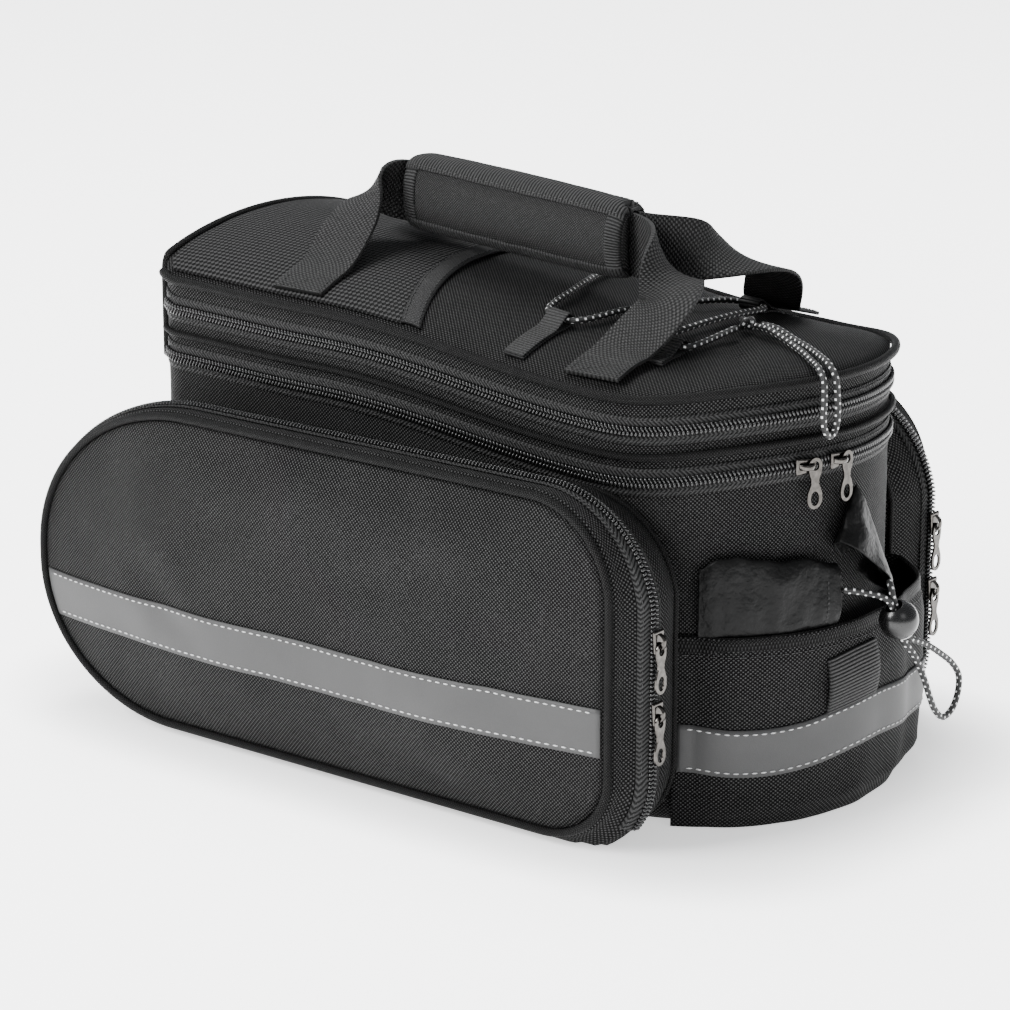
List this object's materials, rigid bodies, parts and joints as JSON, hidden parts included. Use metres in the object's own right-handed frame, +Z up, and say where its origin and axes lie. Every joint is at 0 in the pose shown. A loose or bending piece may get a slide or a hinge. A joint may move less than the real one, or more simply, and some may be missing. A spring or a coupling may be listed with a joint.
{
  "type": "bicycle pannier bag",
  "caption": "Soft bicycle rack bag with a zipped domed lid, a zipped pannier on each side, a rear pocket with a drawcord sleeve, a padded carry handle and elastic cord.",
  "frame": {"origin": "middle of the main bag's flat base, on the ground", "axes": "+X towards the rounded rear end, -Y towards the left pannier, +Z up"},
  "size_m": [0.445, 0.2902, 0.2798],
  "materials": {
    "main_cloth": "coarse black polyester weave",
    "trim_cloth": "black cloth-covered piping and binding",
    "mesh_cloth": "open black air mesh",
    "webbing": "ribbed black polyester webbing",
    "thin_nylon": "thin shiny black nylon",
    "zip_coil": "black nylon coil on woven tape",
    "reflective": "grey reflective tape",
    "pull_metal": "polished nickel-plated metal",
    "lock_plastic": "satin black plastic",
    "cord_cloth": "black elastic cord with white flecks"
  },
  "bodies": {
    "root": {"main_tub": "main_cloth", "zip_band": "main_cloth", "lid": "main_cloth", "handle_grip": "main_cloth", "left_pannier_tub": "main_cloth", "left_pannier_panel": "main_cloth", "right_pannier_tub": "main_cloth", "right_pannier_panel": "main_cloth", "rear_pocket": "main_cloth", "lid_piping": "trim_cloth", "middle_piping": "trim_cloth", "front_binding": "trim_cloth", "mesh_binding": "trim_cloth", "left_pannier_piping": "trim_cloth", "right_pannier_piping": "trim_cloth", "mesh_pocket": "mesh_cloth", "handle_strap_left": "webbing", "handle_strap_right": "webbing", "light_loop": "webbing", "cord_tab_1": "webbing", "cord_tab_2": "webbing", "cord_tab_3": "webbing", "cord_tab_4": "webbing", "sleeve_fold_left": "thin_nylon", "sleeve_fold_right": "thin_nylon", "upper_zip": "zip_coil", "lower_zip": "zip_coil", "left_pannier_zip": "zip_coil", "right_pannier_zip": "zip_coil", "left_pannier_stripe": "reflective", "right_pannier_stripe": "reflective", "rear_stripe": "reflective", "left_pannier_1_slider": "pull_metal", "left_pannier_1_pull": "pull_metal", "left_pannier_2_slider": "pull_metal", "left_pannier_2_pull": "pull_metal", "right_pannier_1_slider": "pull_metal", "right_pannier_1_pull": "pull_metal", "right_pannier_2_slider": "pull_metal", "right_pannier_2_pull": "pull_metal", "main_1_slider": "pull_metal", "main_1_pull": "pull_metal", "main_2_slider": "pull_metal", "main_2_pull": "pull_metal", "cord_lock": "lock_plastic", "drawcord": "cord_cloth", "shock_lacing": "cord_cloth", "shock_loop": "cord_cloth", "cord_knot": "cord_cloth"}
  },
  "joints": []
}
